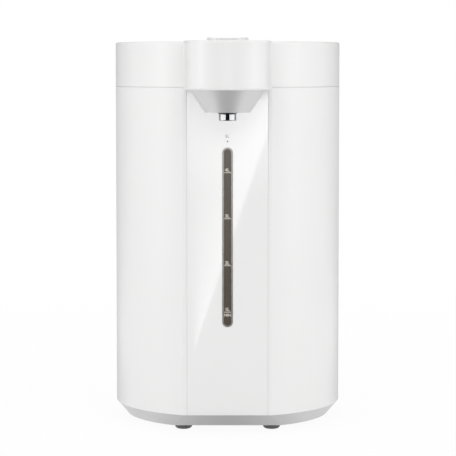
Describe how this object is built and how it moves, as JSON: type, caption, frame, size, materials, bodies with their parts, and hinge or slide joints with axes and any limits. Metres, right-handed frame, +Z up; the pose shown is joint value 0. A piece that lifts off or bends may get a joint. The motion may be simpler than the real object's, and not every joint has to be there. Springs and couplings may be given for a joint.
{
  "type": "electric thermo pot",
  "caption": "Five-litre electric thermo pot: round white body with a flat front and level gauge, nose with a turning knob over the spout, hinged lid and folding handle.",
  "frame": {"origin": "centre of the footprint, on the surface that the feet stand on", "axes": "+Z up; -Y towards the user, where the spout is; +X to the right as the user faces the pot"},
  "size_m": [0.209, 0.2678, 0.3538],
  "materials": {
    "body_white": "satin white moulded plastic with a very fine spark texture",
    "collar_white": "satin white moulded plastic",
    "panel_gloss": "clear-coated glossy white",
    "soft_grey": "satin light grey moulded plastic",
    "handle_grey": "satin light grey moulded plastic",
    "chrome": "bright chrome plate",
    "gauge_rim": "fine brushed bright rim",
    "gauge_tint": "smoked transparent plastic",
    "tube_glass": "clear tube",
    "clear_plastic": "natural polypropylene",
    "liner_steel": "drawn and brushed stainless steel",
    "steel": "bright zinc plate",
    "silicone": "translucent silicone",
    "foot_rubber": "dull grey rubber",
    "felt": "needled felt",
    "foam": "open-cell foam",
    "cast_aluminium": "as cast",
    "heater_metal": "heat-darkened steel",
    "dark_plastic": "matte black moulded plastic",
    "pump_plastic": "natural glass-filled polypropylene",
    "circuit_board": "solder-masked laminate",
    "contact_brass": "bright nickel-free brass",
    "motor_steel": "zinc-plated drawn can",
    "knob_metal": "spun and anodised",
    "button_white": "satin white cap"
  },
  "bodies": {
    "housing": {"body_shell": "body_white", "front_panel": "panel_gloss", "gauge_bezel": "gauge_rim", "gauge_lens": "gauge_tint", "collar": "collar_white", "control_overlay": "panel_gloss", "hinge_pin": "steel", "handle_pins": "steel", "spout_hood": "soft_grey", "nozzle": "chrome", "tip_valve_body": "clear_plastic", "spout_pipe": "liner_steel", "button_spring": "steel", "encoder": "dark_plastic", "control_board": "circuit_board", "vessel": "liner_steel", "vessel_seal": "silicone", "insulation_sleeve": "felt", "warm_band": "heater_metal", "heater_plate": "cast_aluminium", "heater_coil": "heater_metal", "thermostats": "dark_plastic", "thermistor": "steel", "base_tub": "soft_grey", "service_hatch": "soft_grey", "feet": "foot_rubber", "pump_bracket": "pump_plastic", "motor_case": "motor_steel", "pump_housing": "pump_plastic", "pump_cover": "pump_plastic", "inlet_hose": "silicone", "outlet_hose": "silicone", "level_tube": "tube_glass", "tube_coupler": "silicone", "power_board": "circuit_board", "board_parts": "dark_plastic", "inlet_socket": "dark_plastic", "inlet_pins": "contact_brass", "hatch_screws": "steel", "shell_screws": "steel", "collar_screws": "steel", "board_screws": "steel", "control_screws": "steel"},
    "lid": {"lid_cover": "collar_white", "lid_base": "pump_plastic", "inner_lid": "liner_steel", "lid_gasket": "silicone", "lid_foam": "foam", "steam_cap": "soft_grey", "steam_duct": "pump_plastic", "lid_screws": "steel"},
    "latch": {"lid_latch": "soft_grey"},
    "handle": {"carry_handle": "handle_grey"},
    "knob": {"knob_ring": "knob_metal"},
    "button": {"dispense_button": "button_white"},
    "rotor": {"motor_rotor": "motor_steel"},
    "impeller": {"impeller": "dark_plastic"},
    "outlet_ball": {"tip_ball": "steel"},
    "vent_ball": {"steam_ball": "steel"}
  },
  "joints": [
    {"name": "lid_hinge", "type": "hinge", "parent": "housing", "child": "lid", "pos_m": [0, 0.1124, 0.3474], "axis": [-1, 0, 0], "range_deg": [0, 95]},
    {"name": "latch_slide", "type": "slide", "parent": "lid", "child": "latch", "axis": [0, 1, 0], "range_m": [0, 0.005], "stiffness_N_per_m": 400},
    {"name": "handle_pivot", "type": "hinge", "parent": "housing", "child": "handle", "pos_m": [0, 0.0294, 0.346], "axis": [1, 0, 0], "range_deg": [0, 90]},
    {"name": "knob_turn", "type": "hinge", "parent": "housing", "child": "knob", "pos_m": [0, -0.0954, 0.352], "axis": [0, 0, 1], "continuous": true},
    {"name": "button_press", "type": "slide", "parent": "housing", "child": "button", "axis": [0, 0, -1], "range_m": [0, 0.0015], "stiffness_N_per_m": 500, "deforming": ["button_spring"]},
    {"name": "rotor_spin", "type": "hinge", "parent": "housing", "child": "rotor", "pos_m": [-0.011, -0.0206, 0.018], "axis": [0, 0, 1], "continuous": true},
    {"name": "impeller_spin", "type": "hinge", "parent": "housing", "child": "impeller", "pos_m": [-0.011, -0.0206, 0.037], "axis": [0, 0, 1], "continuous": true},
    {"name": "outlet_ball_slide", "type": "slide", "parent": "housing", "child": "outlet_ball", "axis": [0, 0, 1], "range_m": [0, 0.003]},
    {"name": "vent_ball_slide", "type": "slide", "parent": "lid", "child": "vent_ball", "axis": [0, 0, 1], "range_m": [0, 0.003]}
  ],
  "couplings": [
    {"joint": "impeller_spin", "follows": "rotor_spin", "ratio": 1}
  ]
}
